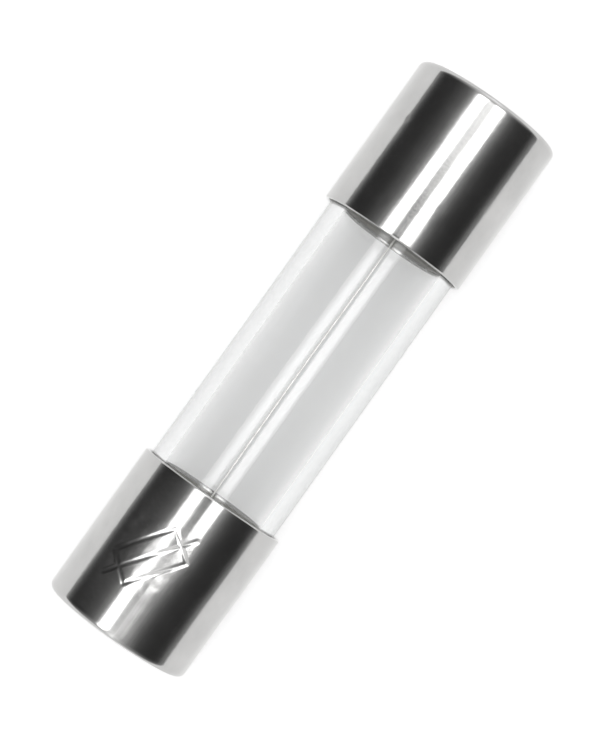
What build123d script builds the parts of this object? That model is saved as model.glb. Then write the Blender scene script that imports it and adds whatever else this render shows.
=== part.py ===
"""Miniature cartridge fuse, 5 x 20 mm pattern: a clear glass tube with a fusible wire, closed by two drawn end caps.

+X runs along the fuse's axis towards the right cap, +Z is up, and the origin is at the fuse's centre. All in mm.
"""

import os

from build123d import *

# The whole fuse
FUSE_LENGTH = 20.0

# End caps: thin drawn cups of nickel-plated brass
CAP_DIAMETER = 5.05
CAP_LENGTH = 5.25
CAP_SKIRT_WALL = 0.15
CAP_END_WALL = 0.20
CAP_EDGE_RADIUS = 0.22
CAP_RIM_RADIUS = 0.06

# Glass tube, with fire-polished ends
TUBE_DIAMETER = 4.60
TUBE_BORE = 3.60
TUBE_LENGTH = 19.0
TUBE_END_RADIUS = 0.12

# Fusible wire, on the axis
WIRE_DIAMETER = 0.06
WIRE_LENGTH = 19.3

# Solder, a puddle in the cap's bottom that rises up the wire in a hollow cone
SOLDER_DIAMETER = 4.20
SOLDER_CONE_DIAMETER = 3.20
SOLDER_CONE_LENGTH = 0.90
SOLDER_TIP_DIAMETER = 0.20
SOLDER_CONE_SAG = 0.22

# Cement ring between the glass and the cap's skirt, set back from the skirt's rim and from the solder
CEMENT_SETBACK = 0.10
CEMENT_LENGTH = 4.15

CAP_RADIUS = CAP_DIAMETER / 2
CAP_BORE_RADIUS = CAP_RADIUS - CAP_SKIRT_WALL
CAP_INNER_EDGE_RADIUS = CAP_EDGE_RADIUS - CAP_SKIRT_WALL
TUBE_RADIUS = TUBE_DIAMETER / 2
END_X = FUSE_LENGTH / 2
CAP_FLOOR_X = END_X - CAP_END_WALL
CAP_RIM_X = END_X - CAP_LENGTH
TUBE_END_X = TUBE_LENGTH / 2


def turned(profile):
    """The solid of a closed profile, drawn in X and radius, turned about the fuse's axis."""
    return revolve(make_face(profile), Axis.X)


def rounded(face_corners, radius_at):
    """A turned solid from corners in X and radius, its corners rounded by the radii given by their place."""
    outline = Polyline(*face_corners, close=True)
    face = make_face(outline)
    for (x, radius), round_radius in radius_at.items():
        corner = face.vertices().sort_by_distance((x, radius, 0))[0]
        face = fillet(corner, round_radius)
    return revolve(face, Axis.X)


def glass_tube():
    """The open tube, with every edge of its ends rounded."""
    bore = TUBE_BORE / 2
    corners = [
        (-TUBE_END_X, bore),
        (-TUBE_END_X, TUBE_RADIUS),
        (TUBE_END_X, TUBE_RADIUS),
        (TUBE_END_X, bore),
    ]
    return rounded(corners, {corner: TUBE_END_RADIUS for corner in corners})


def right_cap():
    """The cup on the right end, its floor outwards and its skirt over the glass."""
    corners = [
        (END_X, 0),
        (END_X, CAP_RADIUS),
        (CAP_RIM_X, CAP_RADIUS),
        (CAP_RIM_X, CAP_BORE_RADIUS),
        (CAP_FLOOR_X, CAP_BORE_RADIUS),
        (CAP_FLOOR_X, 0),
    ]
    return rounded(
        corners,
        {
            corners[1]: CAP_EDGE_RADIUS,
            corners[2]: CAP_RIM_RADIUS,
            corners[3]: CAP_RIM_RADIUS,
            corners[4]: CAP_INNER_EDGE_RADIUS,
        },
    )


def fuse_wire():
    """The straight wire on the axis, its ends sunk in the solder."""
    return Rot(0, 90, 0) * Cylinder(WIRE_DIAMETER / 2, WIRE_LENGTH)


def right_solder():
    """The solder between the right cap's floor and the glass, with its hollow cone up the wire."""
    puddle_radius = SOLDER_DIAMETER / 2
    cone_radius = SOLDER_CONE_DIAMETER / 2
    tip = (TUBE_END_X - SOLDER_CONE_LENGTH, SOLDER_TIP_DIAMETER / 2)
    foot = (TUBE_END_X, cone_radius)
    sagged = (TUBE_END_X - SOLDER_CONE_SAG, (tip[1] + cone_radius) / 2)
    body = turned(
        Polyline(foot, (TUBE_END_X, puddle_radius), (CAP_FLOOR_X, puddle_radius), (CAP_FLOOR_X, 0), (tip[0], 0), tip)
        + ThreePointArc(tip, sagged, foot)
    )
    return body - fuse_wire()


def right_cement():
    """The thin ring of cement that fills the gap between the glass and the right cap's skirt."""
    start = CAP_RIM_X + CEMENT_SETBACK
    end = start + CEMENT_LENGTH
    return turned(
        Polyline((start, TUBE_RADIUS), (start, CAP_BORE_RADIUS), (end, CAP_BORE_RADIUS), (end, TUBE_RADIUS), close=True)
    )


def both_ends(name, solid):
    """The piece of that name on each end of the fuse, the left one the right one's mirror image."""
    return {f"{name}_right": solid, f"{name}_left": mirror(solid, about=Plane.YZ)}


pieces = {"glass_tube": glass_tube(), "fuse_wire": fuse_wire()}
pieces |= both_ends("end_cap", right_cap())
pieces |= both_ends("solder", right_solder())
pieces |= both_ends("cement", right_cement())

os.makedirs("parts", exist_ok=True)
for node, piece in pieces.items():
    export_step(piece, f"parts/{node}.step")
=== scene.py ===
"""Looks of the miniature cartridge fuse: its eight pieces as fine meshes, their materials, and a small studio.

Everything is in metres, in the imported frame: +X runs along the fuse's axis towards the right cap and +Z is up.
"""

import math
import random

import bmesh
import bpy
from mathutils import Matrix, Vector, noise

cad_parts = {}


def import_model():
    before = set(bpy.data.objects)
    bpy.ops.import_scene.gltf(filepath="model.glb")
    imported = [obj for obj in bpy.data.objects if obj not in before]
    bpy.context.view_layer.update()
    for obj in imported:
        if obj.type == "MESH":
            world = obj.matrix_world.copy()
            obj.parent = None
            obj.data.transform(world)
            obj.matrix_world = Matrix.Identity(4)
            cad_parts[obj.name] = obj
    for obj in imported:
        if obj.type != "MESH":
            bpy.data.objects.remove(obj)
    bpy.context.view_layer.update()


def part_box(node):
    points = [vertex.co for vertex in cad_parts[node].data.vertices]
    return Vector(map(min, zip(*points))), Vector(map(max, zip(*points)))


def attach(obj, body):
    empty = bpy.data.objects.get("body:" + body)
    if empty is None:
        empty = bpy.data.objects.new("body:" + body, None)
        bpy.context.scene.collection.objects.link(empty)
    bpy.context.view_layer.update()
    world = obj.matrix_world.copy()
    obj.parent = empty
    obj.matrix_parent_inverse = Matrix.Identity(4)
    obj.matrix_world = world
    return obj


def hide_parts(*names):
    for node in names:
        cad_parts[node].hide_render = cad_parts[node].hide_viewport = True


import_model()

MM = 0.001
FULL_TURN = 2 * math.pi

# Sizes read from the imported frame
CAP_LOW, CAP_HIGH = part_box("end_cap_right")
_, TUBE_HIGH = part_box("glass_tube")
_, WIRE_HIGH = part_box("fuse_wire")
SOLDER_LOW, SOLDER_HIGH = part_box("solder_right")
CEMENT_LOW, CEMENT_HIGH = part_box("cement_right")
END_X = CAP_HIGH.x
RIM_X = CAP_LOW.x
CAP_RADIUS = CAP_HIGH.y
TUBE_END_X = TUBE_HIGH.x
TUBE_RADIUS = TUBE_HIGH.y
WIRE_RADIUS = WIRE_HIGH.y
WIRE_END_X = WIRE_HIGH.x

# Sizes inside the boxes, as in the CAD design
SKIRT_WALL = 0.15 * MM
END_WALL = 0.20 * MM
EDGE_RADIUS = 0.22 * MM
RIM_RADIUS = 0.06 * MM
END_DOME = 0.04 * MM
TUBE_BORE_RADIUS = 1.80 * MM
TUBE_END_RADIUS = 0.12 * MM
SOLDER_CONE_RADIUS = 1.60 * MM
SOLDER_TIP_RADIUS = 0.10 * MM
SOLDER_CONE_POWER = 2.6
CEMENT_GAP = 0.003 * MM

# Where the caps' straight skirts start, behind the slightly domed end face and its rounded edge
SKIRT_START_X = END_X - END_DOME - EDGE_RADIUS

# Mesh steps: rings over a cap's end face, then on its skirt, in the plain stretches and under the stamped mark
END_STEPS = 14
SKIRT_STEP = 0.06 * MM
FINE_STEP = 0.024 * MM

# Mesh steps: sides round the other turned pieces, and rings up the solder's cone and along half of the wire
RIGHT_CAP_SIDES = 300
TUBE_SIDES = 720
WIRE_SIDES = 20
SOLDER_SIDES = 96
CEMENT_SIDES = 160
SOLDER_CONE_STEPS = 16
WIRE_HALF_STEPS = 80

# The slight waviness of the caps' skirts: its height, then how fast it changes along each mm and round the cap
WAVE_HEIGHT = 0.0025 * MM
WAVE_ALONG = 0.35
WAVE_ROUND = 1.1

# The small dents from handling, on each cap: how many, then their radii and their depths in mm
DING_COUNT = 14
DING_RADII = (0.10, 0.30)
DING_DEPTHS = (0.001, 0.004)

# The slight set that the wire keeps: how far it strays to the side and up, and how fast that changes along each mm
WIRE_STRAY_Y = 0.03 * MM
WIRE_STRAY_Z = 0.05 * MM
WIRE_STRAY_ALONG = 0.22

# The left cap's stamped mark, the plain symbol for a fuse: a box with a line through it
MARK_X = -7.25 * MM
MARK_ANGLE = math.radians(11)
MARK_TURN = math.radians(-38)
MARK_BOX = (2.00 * MM, 1.10 * MM)
MARK_LINE_LENGTH = 3.00 * MM
MARK_STROKE = 0.10 * MM
MARK_DEPTH = 0.011 * MM
MARK_REACH = 1.60 * MM

# The skin round the mark, which the stamping left a little rough
STAMPED_REACH = 1.10 * MM
STAMPED_HEIGHT = 0.007 * MM
STAMPED_GRAIN = 0.45 * MM

# The frosting of the plate round the mark: how much rougher it is, and where that starts and ends fading
FROST = 0.10
FROST_INNER = 0.6 * MM
FROST_OUTER = 1.2 * MM

# The shallow dent that the stamping left beside the mark: it starts on top and fades down towards -Y
DENT_X = -9.00 * MM
DENT_ANGLE = 0.0
DENT_DEPTH = 0.085 * MM
DENT_START = 0.12 * MM
DENT_SLOPE = 0.80 * MM
DENT_REACH = 3.00 * MM
DENT_LENGTH = 1.70 * MM
# How far in from the cap's radius the dent still shows, round the outer edge
DENT_SKIN = 0.9 * SKIRT_WALL


# ---------------------------------------------------------------- shapes


def arc(centre, radius, start, end, steps):
    """Points of an arc in the plane of X and radius, angles in degrees from +X, ends included."""
    points = []
    for i in range(steps + 1):
        angle = math.radians(start + (end - start) * i / steps)
        points.append((centre[0] + radius * math.cos(angle), centre[1] + radius * math.sin(angle)))
    return points


def run(start, end, steps):
    """Evenly spaced points between two points, without the first and the last."""
    return [
        (start[0] + (end[0] - start[0]) * i / steps, start[1] + (end[1] - start[1]) * i / steps)
        for i in range(1, steps)
    ]


def spaced(start, end, step):
    """Numbers from start up to end, end left out, about a step apart."""
    count = max(1, math.ceil(abs(end - start) / step))
    return [start + (end - start) * i / count for i in range(count)]


def even_turns(count):
    """Angles evenly spaced over a full turn, in radians."""
    return spaced(0.0, FULL_TURN, FULL_TURN / count)


def turned(name, profile, turns, closed=False, side="right", shift=None):
    """A mesh object turned about the X axis from a profile of (x, radius) points, mirrored for the left side.

    A point with no radius becomes a single vertex. An angle of 0 is straight up, and it grows towards +Y.
    shift(x, angle, radius) moves a point outwards by what it returns.
    """
    bm = bmesh.new()
    rings = []
    for place, radius in profile:
        x = place if side == "right" else -place
        if radius == 0.0:
            rings.append([bm.verts.new((x, 0, 0))])
            continue
        ring = []
        for angle in turns:
            r = radius + (shift(x, angle, radius) if shift else 0.0)
            ring.append(bm.verts.new((x, r * math.sin(angle), r * math.cos(angle))))
        rings.append(ring)
    pairs = list(zip(rings, rings[1:]))
    if closed:
        pairs.append((rings[-1], rings[0]))
    for a, b in pairs:
        for i in range(len(turns)):
            j = (i + 1) % len(turns)
            if len(a) == 1:
                bm.faces.new((a[0], b[i], b[j]))
            elif len(b) == 1:
                bm.faces.new((a[i], b[0], a[j]))
            else:
                bm.faces.new((a[i], b[i], b[j], a[j]))
    return smooth_object(name, bm)


def smooth_object(name, bm):
    """An object of that name from a bmesh, smooth but for any flat end of many sides."""
    bmesh.ops.recalc_face_normals(bm, faces=bm.faces)
    for face in bm.faces:
        face.smooth = len(face.verts) <= 4
    mesh = bpy.data.meshes.new(name)
    bm.to_mesh(mesh)
    bm.free()
    piece = bpy.data.objects.new(name, mesh)
    bpy.context.scene.collection.objects.link(piece)
    return piece


def finished(piece, node, material):
    """Gives a piece its material and lets it stand for its CAD node."""
    piece.data.materials.append(material)
    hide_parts(node)
    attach(piece, "root")
    return piece


# ---------------------------------------------------------------- materials


class Graph:
    """A short way to add and link the nodes of a tree."""

    def __init__(self, tree):
        self.tree = tree

    def add(self, kind, **values):
        node = self.tree.nodes.new(kind)
        for key, value in values.items():
            setattr(node, key, value)
        return node

    def link(self, source, target):
        self.tree.links.new(source, target)

    def maths(self, operation, a, b=0.0):
        node = self.add("ShaderNodeMath", operation=operation)
        for socket, value in zip(node.inputs, (a, b)):
            if isinstance(value, (int, float)):
                socket.default_value = value
            else:
                self.link(value, socket)
        return node.outputs[0]

    def span(self, value, low, high, to_low, to_high):
        """Maps a value from one range to another, and holds it there."""
        node = self.add("ShaderNodeMapRange")
        for socket, number in zip(node.inputs[1:5], (low, high, to_low, to_high)):
            socket.default_value = number
        self.link(value, node.inputs["Value"])
        return node.outputs["Result"]

    def bell(self, value, middle, reach):
        """A bell curve of a value round a middle."""
        away = self.maths("DIVIDE", self.maths("SUBTRACT", value, middle), reach)
        return self.maths("EXPONENT", self.maths("MULTIPLY", self.maths("MULTIPLY", away, away), -1.0))


class Surface(Graph):
    """The nodes of a new material round its Principled shader."""

    def __init__(self, name):
        self.material = bpy.data.materials.new(name)
        self.material.use_nodes = True
        super().__init__(self.material.node_tree)
        self.shader = self.tree.nodes["Principled BSDF"]
        self.output = self.tree.nodes["Material Output"]

    def object_space(self, scale=(1, 1, 1)):
        """Coordinates in the piece's own space, stretched by a scale for each axis."""
        coordinates = self.add("ShaderNodeTexCoord")
        mapping = self.add("ShaderNodeMapping")
        mapping.inputs["Scale"].default_value = scale
        self.link(coordinates.outputs["Object"], mapping.inputs["Vector"])
        return mapping.outputs["Vector"]

    def noise(self, vector, scale, detail, roughness):
        texture = self.add("ShaderNodeTexNoise")
        texture.inputs["Scale"].default_value = scale
        texture.inputs["Detail"].default_value = detail
        texture.inputs["Roughness"].default_value = roughness
        self.link(vector, texture.inputs["Vector"])
        return texture.outputs["Fac"]

    def ramp(self, value, *stops):
        """A colour ramp of (place, colour) stops."""
        node = self.add("ShaderNodeValToRGB")
        elements = node.color_ramp.elements
        while len(elements) < len(stops):
            elements.new(0.5)
        for element, (place, colour) in zip(elements, stops):
            element.position = place
            element.color = (*colour, 1)
        self.link(value, node.inputs["Fac"])
        return node.outputs["Color"]

    def bump(self, height, strength, distance, under=None):
        node = self.add("ShaderNodeBump")
        node.inputs["Strength"].default_value = strength
        node.inputs["Distance"].default_value = distance
        self.link(height, node.inputs["Height"])
        if under is not None:
            self.link(under, node.inputs["Normal"])
        return node.outputs["Normal"]


def nickel_plate():
    """Bright nickel over drawn brass: fine drawing lines along the axis, clouded patches, and frosting at the mark."""
    n = Surface("nickel_plate")
    clouds = n.noise(n.object_space(), 900, 5, 0.6)
    lines = n.noise(n.object_space((0.03, 1, 1)), 14000, 3, 0.6)
    grain = n.noise(n.object_space(), 9000, 4, 0.6)
    colour = n.ramp(clouds, (0.3, (0.451, 0.449, 0.444)), (0.7, (0.514, 0.511, 0.505)))
    n.link(colour, n.shader.inputs["Base Color"])
    n.shader.inputs["Metallic"].default_value = 1.0
    from_mark = n.add("ShaderNodeVectorMath", operation="DISTANCE")
    n.link(n.object_space(), from_mark.inputs[0])
    from_mark.inputs[1].default_value = (
        MARK_X,
        CAP_RADIUS * math.sin(MARK_ANGLE),
        CAP_RADIUS * math.cos(MARK_ANGLE),
    )
    rough = n.maths("ADD", n.span(clouds, 0.3, 0.7, 0.07, 0.12), n.span(lines, 0.35, 0.7, 0.0, 0.05))
    frosted = n.span(from_mark.outputs["Value"], FROST_INNER, FROST_OUTER, FROST, 0.0)
    n.link(n.maths("ADD", rough, frosted), n.shader.inputs["Roughness"])
    n.link(n.bump(grain, 0.08, 0.01 * MM, n.bump(lines, 0.16, 0.004 * MM)), n.shader.inputs["Normal"])
    return n.material


def clear_glass():
    """Clear, very slightly grey glass. Lamps shine straight through it, so what is under it is lit."""
    n = Surface("clear_glass")
    n.shader.inputs["Base Color"].default_value = (0.936, 0.936, 0.936, 1)
    n.shader.inputs["Transmission Weight"].default_value = 1.0
    n.shader.inputs["IOR"].default_value = 1.5
    smears = n.noise(n.object_space((0.4, 1, 1)), 500, 3, 0.5)
    n.link(n.span(smears, 0.5, 0.8, 0.015, 0.04), n.shader.inputs["Roughness"])
    through = n.add("ShaderNodeBsdfTransparent")
    through.inputs["Color"].default_value = (0.94, 0.94, 0.94, 1)
    path = n.add("ShaderNodeLightPath")
    mix = n.add("ShaderNodeMixShader")
    unbent = n.maths("MAXIMUM", path.outputs["Is Shadow Ray"], path.outputs["Is Diffuse Ray"])
    n.link(unbent, mix.inputs["Fac"])
    n.link(n.shader.outputs["BSDF"], mix.inputs[1])
    n.link(through.outputs["BSDF"], mix.inputs[2])
    n.link(mix.outputs["Shader"], n.output.inputs["Surface"])
    depth = n.add("ShaderNodeVolumeAbsorption")
    depth.inputs["Color"].default_value = (0.12, 0.15, 0.14, 1)
    depth.inputs["Density"].default_value = 160
    n.link(depth.outputs["Volume"], n.output.inputs["Volume"])
    return n.material


def tinned_wire():
    """Drawn copper wire with a bright tin coat, a little tarnished."""
    n = Surface("tinned_wire")
    tarnish = n.noise(n.object_space(), 5000, 4, 0.6)
    n.link(n.ramp(tarnish, (0.35, (0.70, 0.69, 0.67)), (0.65, (0.93, 0.92, 0.90))), n.shader.inputs["Base Color"])
    n.shader.inputs["Metallic"].default_value = 1.0
    n.link(n.span(tarnish, 0.3, 0.7, 0.34, 0.46), n.shader.inputs["Roughness"])
    return n.material


def solder():
    """Satin tin solder, its surface frosted by small crystals."""
    n = Surface("solder")
    crystals = n.add("ShaderNodeTexVoronoi")
    crystals.inputs["Scale"].default_value = 7000
    n.link(n.object_space(), crystals.inputs["Vector"])
    clouds = n.noise(n.object_space(), 2500, 5, 0.6)
    n.link(n.ramp(clouds, (0.3, (0.42, 0.42, 0.41)), (0.7, (0.62, 0.62, 0.61))), n.shader.inputs["Base Color"])
    n.shader.inputs["Metallic"].default_value = 1.0
    n.link(n.span(clouds, 0.3, 0.7, 0.28, 0.45), n.shader.inputs["Roughness"])
    n.link(n.bump(crystals.outputs["Distance"], 0.25, 0.02 * MM), n.shader.inputs["Normal"])
    return n.material


def cement():
    """Pale, dull cement with a fine grain."""
    n = Surface("cement")
    grain = n.noise(n.object_space(), 12000, 5, 0.7)
    n.link(n.ramp(grain, (0.3, (0.58, 0.57, 0.54)), (0.7, (0.74, 0.73, 0.69))), n.shader.inputs["Base Color"])
    n.shader.inputs["Roughness"].default_value = 0.85
    n.link(n.bump(grain, 0.4, 0.02 * MM), n.shader.inputs["Normal"])
    return n.material


# ---------------------------------------------------------------- end caps


def cap_profile(skirt):
    """A cap's outline, from the middle of its outer face round the rim to the middle of its floor.

    The skirt is a list of places along the axis on the outside of the cap, from its outer edge to its rim.
    """
    bore = CAP_RADIUS - SKIRT_WALL
    floor_x = END_X - END_WALL
    inner_edge = EDGE_RADIUS - SKIRT_WALL
    flat = CAP_RADIUS - EDGE_RADIUS
    face = [(END_X - END_DOME * (i / END_STEPS) ** 2, flat * i / END_STEPS) for i in range(END_STEPS)]
    return (
        face
        + arc((SKIRT_START_X, flat), EDGE_RADIUS, 0, 90, 12)
        + [(x, CAP_RADIUS) for x in skirt]
        + arc((RIM_X + RIM_RADIUS, CAP_RADIUS - RIM_RADIUS), RIM_RADIUS, 90, 180, 7)
        + arc((RIM_X + RIM_RADIUS, bore + RIM_RADIUS), RIM_RADIUS, 180, 270, 7)
        + run((RIM_X + RIM_RADIUS, bore), (floor_x - inner_edge, bore), 12)
        + arc((floor_x - inner_edge, bore - inner_edge), inner_edge, 90, 0, 6)
        + run((floor_x, bore - inner_edge), (floor_x, 0.0), 8)
        + [(floor_x, 0.0)]
    )


def waviness(x, angle, seed):
    """The slight unevenness that drawing leaves in a thin cup."""
    place = Vector((x / MM * WAVE_ALONG + seed, math.sin(angle) * WAVE_ROUND, math.cos(angle) * WAVE_ROUND))
    return WAVE_HEIGHT * noise.noise(place)


def round_way(angle, centre):
    """The way round the cap's skirt from one angle to another, the short way."""
    return CAP_RADIUS * math.remainder(angle - centre, FULL_TURN)


def dings(seed):
    """Small shallow dents from handling: the place along the axis, angle, radius and depth of each."""
    chance = random.Random(seed)
    return [
        (
            chance.uniform(RIM_X, END_X),
            chance.uniform(0, FULL_TURN),
            chance.uniform(*DING_RADII) * MM,
            chance.uniform(*DING_DEPTHS) * MM,
        )
        for _ in range(DING_COUNT)
    ]


def ding_depth(x, angle, dents):
    """How far the dings push a point of the skirt inwards."""
    depth = 0.0
    for place, centre, radius, deepest in dents:
        reach = ((abs(x) - place) ** 2 + round_way(angle, centre) ** 2) / radius**2
        if reach < 9:
            depth += deepest * math.exp(-reach)
    return depth


def to_segment(point, start, end):
    """The distance from a point to a line segment, in a plane."""
    along = (end[0] - start[0], end[1] - start[1])
    away = (point[0] - start[0], point[1] - start[1])
    t = (away[0] * along[0] + away[1] * along[1]) / (along[0] ** 2 + along[1] ** 2)
    t = min(1.0, max(0.0, t))
    return math.hypot(away[0] - along[0] * t, away[1] - along[1] * t)


def mark_lines():
    """The strokes of the fuse symbol, in its own plane: the four sides of the box and the line through it."""
    a, b = MARK_BOX[0] / 2, MARK_BOX[1] / 2
    corners = [(-a, b), (a, b), (a, -b), (-a, -b)]
    sides = list(zip(corners, corners[1:] + corners[:1]))
    return sides + [((-MARK_LINE_LENGTH / 2, 0.0), (MARK_LINE_LENGTH / 2, 0.0))]


def mark_depth(x, angle, lines):
    """The depth of the stamped symbol at a point of the left cap's skirt, its strokes rounded troughs."""
    away = (x - MARK_X, round_way(angle, MARK_ANGLE))
    if math.hypot(*away) > MARK_REACH:
        return 0.0
    cosine, sine = math.cos(MARK_TURN), math.sin(MARK_TURN)
    point = (away[0] * cosine + away[1] * sine, away[1] * cosine - away[0] * sine)
    near = min(to_segment(point, start, end) for start, end in lines)
    if near >= MARK_STROKE:
        return 0.0
    return MARK_DEPTH * (0.5 + 0.5 * math.cos(math.pi * near / MARK_STROKE))


def stamped_skin(x, angle):
    """The unevenness of the skin round the mark, which fades out from the mark's middle."""
    way = round_way(angle, MARK_ANGLE)
    fading = math.exp(-((math.hypot(x - MARK_X, way) / STAMPED_REACH) ** 4))
    place = Vector((x / STAMPED_GRAIN, way / STAMPED_GRAIN, 4.0))
    return STAMPED_HEIGHT * fading * noise.fractal(place, 1.0, 2.0, 2)


def dent_depth(x, angle):
    """How far the dent beside the mark pushes a point of the left cap's skirt inwards."""
    down = -round_way(angle, DENT_ANGLE)
    if down <= 0:
        return 0.0
    down = down**2 / (down + DENT_START)
    deepening = 1 - math.exp(-down / DENT_SLOPE)
    fading = math.exp(-((down / DENT_REACH) ** 2) - ((x - DENT_X) / DENT_LENGTH) ** 4)
    return DENT_DEPTH * deepening * fading


def skirt_part(radius):
    """How fully a dent works at a radius: all on the skirt's outside, and less and less round the outer edge."""
    return min(1.0, max(0.0, 1 - (CAP_RADIUS - radius) / DENT_SKIN))


def right_cap_piece(material):
    """The plain right cap."""
    dents = dings(seed=5)

    def shift(x, angle, radius):
        if radius < CAP_RADIUS - RIM_RADIUS:
            return 0.0
        return waviness(x, angle, seed=3.0) - ding_depth(x, angle, dents)

    skirt = spaced(SKIRT_START_X, RIM_X + RIM_RADIUS, SKIRT_STEP)[1:]
    piece = turned("end_cap_right_plated", cap_profile(skirt), even_turns(RIGHT_CAP_SIDES), shift=shift)
    return finished(piece, "end_cap_right", material)


def left_cap_piece(material):
    """The left cap, with a finer mesh round its stamped mark."""
    dents = dings(seed=11)
    lines = mark_lines()

    def shift(x, angle, radius):
        dented = -dent_depth(x, angle) * skirt_part(radius)
        if radius < CAP_RADIUS - RIM_RADIUS:
            return dented
        skin = waviness(x, angle, seed=9.0) + stamped_skin(x, angle)
        return dented + skin - ding_depth(x, angle, dents) - mark_depth(x, angle, lines)

    outer, inner = -MARK_X + MARK_REACH, -MARK_X - MARK_REACH
    skirt = (
        spaced(SKIRT_START_X, outer, SKIRT_STEP)[1:]
        + spaced(outer, inner, FINE_STEP)
        + spaced(inner, RIM_X + RIM_RADIUS, SKIRT_STEP)
    )
    half = MARK_REACH / CAP_RADIUS
    turns = spaced(MARK_ANGLE - half, MARK_ANGLE + half, FINE_STEP / CAP_RADIUS)
    turns += spaced(MARK_ANGLE + half, MARK_ANGLE - half + FULL_TURN, SKIRT_STEP / CAP_RADIUS)
    piece = turned("end_cap_left_plated", cap_profile(skirt), turns, side="left", shift=shift)
    return finished(piece, "end_cap_left", material)


# ---------------------------------------------------------------- tube, wire, solder and cement


def tube_piece(material):
    """The glass tube, its four end edges melted round."""
    round_radius = TUBE_END_RADIUS
    x = TUBE_END_X - round_radius
    outer, inner = TUBE_RADIUS - round_radius, TUBE_BORE_RADIUS + round_radius
    outline = (
        arc((x, inner), round_radius, -90, 0, 8)
        + arc((x, outer), round_radius, 0, 90, 8)
        + run((x, TUBE_RADIUS), (-x, TUBE_RADIUS), 12)
        + arc((-x, outer), round_radius, 90, 180, 8)
        + arc((-x, inner), round_radius, 180, 270, 8)
        + run((-x, TUBE_BORE_RADIUS), (x, TUBE_BORE_RADIUS), 12)
    )
    piece = turned("glass_tube_clear", outline, even_turns(TUBE_SIDES), closed=True)
    return finished(piece, "glass_tube", material)


def wire_piece(material):
    """The fusible wire, drawn nearly straight, with the slight set that it keeps from its reel."""
    turns = even_turns(WIRE_SIDES)
    bm = bmesh.new()
    rings = []
    for x in spaced(-WIRE_END_X, WIRE_END_X, WIRE_END_X / WIRE_HALF_STEPS) + [WIRE_END_X]:
        slack = math.cos(math.pi * x / (2 * WIRE_END_X))
        y = WIRE_STRAY_Y * slack * noise.noise(Vector((x / MM * WIRE_STRAY_ALONG, 1.7, 0)))
        z = WIRE_STRAY_Z * slack * noise.noise(Vector((x / MM * WIRE_STRAY_ALONG, 7.1, 0)))
        rings.append(
            [bm.verts.new((x, y + WIRE_RADIUS * math.sin(a), z + WIRE_RADIUS * math.cos(a))) for a in turns]
        )
    for a, b in zip(rings, rings[1:]):
        for i in range(len(turns)):
            j = (i + 1) % len(turns)
            bm.faces.new((a[i], b[i], b[j], a[j]))
    bm.faces.new(rings[0])
    bm.faces.new(rings[-1])
    return finished(smooth_object("fuse_wire_drawn", bm), "fuse_wire", material)


def solder_piece(side, material):
    """The solder in a cap's floor, which rises up the wire in a hollow cone."""
    puddle_radius = SOLDER_HIGH.y
    floor_x = SOLDER_HIGH.x
    foot_x = TUBE_END_X
    tip_x = SOLDER_LOW.x
    cone = []
    for i in range(SOLDER_CONE_STEPS + 1):
        t = i / SOLDER_CONE_STEPS
        radius = SOLDER_TIP_RADIUS + (SOLDER_CONE_RADIUS - SOLDER_TIP_RADIUS) * t**SOLDER_CONE_POWER
        cone.append((tip_x + (foot_x - tip_x) * t, radius))
    profile = (
        [(tip_x, 0.0)]
        + cone
        + run((foot_x, SOLDER_CONE_RADIUS), (foot_x, puddle_radius), 4)
        + [(foot_x, puddle_radius), (floor_x, puddle_radius)]
        + run((floor_x, puddle_radius), (floor_x, 0.0), 6)
        + [(floor_x, 0.0)]
    )
    piece = turned(f"solder_{side}_puddle", profile, even_turns(SOLDER_SIDES), side=side)
    return finished(piece, f"solder_{side}", material)


def cement_piece(side, material):
    """The cement ring under a cap's skirt, a hair clear of the glass and of the skirt."""
    inner = TUBE_RADIUS + CEMENT_GAP
    outer = CEMENT_HIGH.y - CEMENT_GAP
    low, high = CEMENT_LOW.x, CEMENT_HIGH.x
    profile = (
        [(low, inner), (low, outer)]
        + run((low, outer), (high, outer), 30)
        + [(high, outer), (high, inner)]
        + run((high, inner), (low, inner), 30)
    )
    piece = turned(f"cement_{side}_ring", profile, even_turns(CEMENT_SIDES), closed=True, side=side)
    return finished(piece, f"cement_{side}", material)


plate = nickel_plate()
right_cap_piece(plate)
left_cap_piece(plate)
tube_piece(clear_glass())
wire_piece(tinned_wire())
solder_material = solder()
cement_material = cement()
for side in ("left", "right"):
    solder_piece(side, solder_material)
    cement_piece(side, cement_material)


# ---------------------------------------------------------------- studio

# The floor: how far it reaches in front and to the sides, how far behind the fuse, and how much it glows
FLOOR_REACH = 0.60
FLOOR_REACH_BEHIND = 0.055
FLOOR_GLOW = 0.44

# The strip lamps, all as high over the fuse: a name, then the angle across the fuse, the angle filled and the turn
# about the line to the fuse, in degrees, then where the lamp starts and ends along the fuse, and its radiance
STRIP_HEIGHT = 0.20
STRIPS = (
    ("strip_upper", 16.5, 16.4, -8, -0.0269, 0.13, 2.85),
    ("strip_upper_end", 15.0, 17.4, -8, -0.40, -0.0269, 2.85),
    ("strip_lower", -13.85, 17.3, -3, -0.0212, 0.13, 2.85),
    ("strip_lower_end", -13.85, 17.3, -3, -0.28, -0.0212, 0.38),
)

# The overhead lamp: its strength, the angle that it fills and its lean towards +Y
SUN_STRENGTH = 0.75
SUN_WIDTH = math.radians(32)
SUN_LEAN = math.radians(-5)

# The room round the fuse. Its angles are about the fuse's axis, 0 straight up and growing towards +Y.
ROOM_LEVEL = 0.046
# The glow over the strips: its level, how far it reaches each way, and how fast it fades beyond
GLOW_LEVEL = 0.50
GLOW_REACH = math.radians(27)
GLOW_FADE = math.radians(7)
# The gap between the strips: its width, how dark it is, and how it grows lighter with the direction's X,
# from where, to where and by how much
GAP_WIDTH = math.radians(10)
GAP_DARK = 0.35
GAP_LIGHTER = ((0.0676, 0.1326, 1.85), (-0.0504, -0.1094, 1.12), (0.2, 0.6, -1.6))
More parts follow.
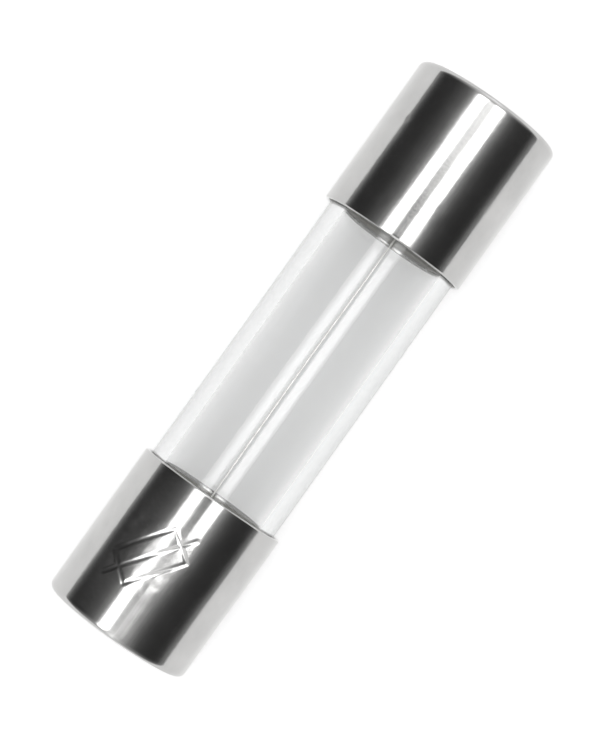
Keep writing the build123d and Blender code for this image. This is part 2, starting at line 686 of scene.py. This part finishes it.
# Towards the fuse's ends: the level that the room reaches there by a power of the direction's X, and how much more it
# is on the right, from where, to where and by how much
ENDS_LEVEL = 0.7
ENDS_POWER = 3.0
ENDS_RIGHT = (0.0, 0.3, 0.5)
# Soft bands along the fuse, the two horizons and one over the fuse: level, middle and reach, in degrees
BANDS = ((0.40, 97, 8.5), (0.32, -90, 8.5), (0.035, 43, 11))
# A pale patch beside the mark: its level, then its middle and reach in degrees, then in the direction's X
PATCH_LEVEL = 0.16
PATCH_ACROSS = (62, 16)
PATCH_ALONG = (-0.080, 0.012)

# The camera: its lens, its distance, its lean along the fuse, the fuse's angle in the picture and the point aimed at,
# to the right and up in the picture
LENS = 124.9
CAMERA_DISTANCE = 0.080
CAMERA_LEAN = math.radians(0.7)
FUSE_ANGLE = math.radians(54.54)
AIM = (-0.075 * MM, -0.124 * MM)


def studio_floor():
    """A plain white floor that glows a little, so that it stays pale round the fuse."""
    bm = bmesh.new()
    bmesh.ops.create_grid(bm, x_segments=8, y_segments=8, size=FLOOR_REACH)
    for vertex in bm.verts:
        if vertex.co.y > 0:
            vertex.co.y *= FLOOR_REACH_BEHIND / FLOOR_REACH
    mesh = bpy.data.meshes.new("studio_floor")
    bm.to_mesh(mesh)
    bm.free()
    floor = bpy.data.objects.new("studio_floor", mesh)
    floor.location.z = -CAP_RADIUS
    bpy.context.scene.collection.objects.link(floor)
    n = Surface("studio_floor")
    n.shader.inputs["Base Color"].default_value = (0.9, 0.9, 0.9, 1)
    n.shader.inputs["Roughness"].default_value = 0.9
    n.shader.inputs["Specular IOR Level"].default_value = 0.0
    n.shader.inputs["Emission Color"].default_value = (1, 1, 1, 1)
    n.shader.inputs["Emission Strength"].default_value = FLOOR_GLOW
    mesh.materials.append(n.material)


def strip_light(name, across, width, turn, start, end, radiance):
    """A long bright lamp that faces the fuse."""
    lamp = bpy.data.lights.new(name, "AREA")
    lamp.shape = "RECTANGLE"
    lamp.size = end - start
    lamp.size_y = 2 * STRIP_HEIGHT * math.tan(math.radians(width / 2))
    lamp.energy = radiance * math.pi * lamp.size * lamp.size_y
    thing = bpy.data.objects.new(name, lamp)
    thing.visible_diffuse = False
    angle = math.radians(across)
    z = Vector((0, math.sin(angle), math.cos(angle)))
    x = Matrix.Rotation(math.radians(turn), 3, z) @ Vector((1, 0, 0))
    rotation = Matrix((x, z.cross(x), z)).transposed().to_4x4()
    thing.matrix_world = Matrix.Translation(z * STRIP_HEIGHT + x * (start + end) / 2) @ rotation
    bpy.context.scene.collection.objects.link(thing)


def overhead_sun():
    """The soft light from above that lights the floor and leaves a faint shadow under the fuse."""
    sun = bpy.data.lights.new("overhead", "SUN")
    sun.energy = SUN_STRENGTH
    sun.angle = SUN_WIDTH
    thing = bpy.data.objects.new("overhead", sun)
    thing.visible_glossy = False
    thing.visible_transmission = False
    thing.rotation_euler = (SUN_LEAN, 0, 0)
    bpy.context.scene.collection.objects.link(thing)


def world():
    """A dark room with a glow round the strip lights. It looks white only behind everything and through the glass."""
    scene_world = bpy.data.worlds.new("studio")
    bpy.context.scene.world = scene_world
    scene_world.use_nodes = True
    n = Graph(scene_world.node_tree)
    background = n.tree.nodes["Background"]
    background.inputs["Color"].default_value = (1, 1, 1, 1)
    parts = n.add("ShaderNodeSeparateXYZ")
    n.link(n.add("ShaderNodeTexCoord").outputs["Generated"], parts.inputs[0])
    along = parts.outputs["X"]
    across = n.maths("ARCTAN2", parts.outputs["Y"], parts.outputs["Z"])

    beyond = n.maths("MAXIMUM", n.maths("SUBTRACT", n.maths("ABSOLUTE", across), GLOW_REACH), 0.0)
    glow = n.maths("MULTIPLY", n.maths("EXPONENT", n.maths("DIVIDE", beyond, -GLOW_FADE)), GLOW_LEVEL)

    # Between the strips the room is darkest over the fuse's middle, where the camera stands
    gap = -GAP_DARK
    for start, end, rise in GAP_LIGHTER:
        gap = n.maths("ADD", n.span(along, start, end, 0.0, rise), gap)
    gap = n.maths("MULTIPLY", n.bell(across, 0.0, GAP_WIDTH), gap)

    start, end, rise = ENDS_RIGHT
    ends_level = n.maths("ADD", n.span(along, start, end, 0.0, rise), ENDS_LEVEL)
    ends = n.maths("MULTIPLY", n.maths("POWER", n.maths("ABSOLUTE", along), ENDS_POWER), ends_level)
    patch = n.bell(across, *(math.radians(number) for number in PATCH_ACROSS))
    patch = n.maths("MULTIPLY", n.maths("MULTIPLY", patch, n.bell(along, *PATCH_ALONG)), PATCH_LEVEL)
    room = ROOM_LEVEL
    for light in (glow, gap, ends, patch):
        room = n.maths("ADD", light, room)
    for level, middle, reach in BANDS:
        band = n.bell(across, math.radians(middle), math.radians(reach))
        room = n.maths("ADD", n.maths("MULTIPLY", band, level), room)

    path = n.add("ShaderNodeLightPath")
    seen = n.maths("MAXIMUM", path.outputs["Is Camera Ray"], path.outputs["Is Transmission Ray"])
    mix = n.add("ShaderNodeMix")
    n.link(seen, mix.inputs["Factor"])
    n.link(room, mix.inputs["A"])
    mix.inputs["B"].default_value = 1.0
    n.link(mix.outputs["Result"], background.inputs["Strength"])


def camera():
    """A long lens nearly straight above the fuse, turned so that the fuse runs up to the right."""
    data = bpy.data.cameras.new("camera")
    data.lens = LENS
    data.sensor_width = 36.0
    data.clip_start = 0.005
    data.clip_end = 10.0
    thing = bpy.data.objects.new("camera", data)
    bpy.context.scene.collection.objects.link(thing)
    bpy.context.scene.camera = thing
    # The fuse's axis as the picture shows it, then the way back to the camera, and the way across the axis
    along = Vector((math.cos(CAMERA_LEAN), 0, math.sin(CAMERA_LEAN)))
    back = Vector((-math.sin(CAMERA_LEAN), 0, math.cos(CAMERA_LEAN)))
    across = back.cross(along)
    right = along * math.cos(FUSE_ANGLE) - across * math.sin(FUSE_ANGLE)
    up = along * math.sin(FUSE_ANGLE) + across * math.cos(FUSE_ANGLE)
    place = right * AIM[0] + up * AIM[1] + back * CAMERA_DISTANCE
    rotation = Matrix((right, up, back)).transposed().to_4x4()
    thing.matrix_world = Matrix.Translation(place) @ rotation


studio_floor()
for strip in STRIPS:
    strip_light(*strip)
overhead_sun()
world()
camera()
bpy.context.scene.view_settings.view_transform = "Standard"
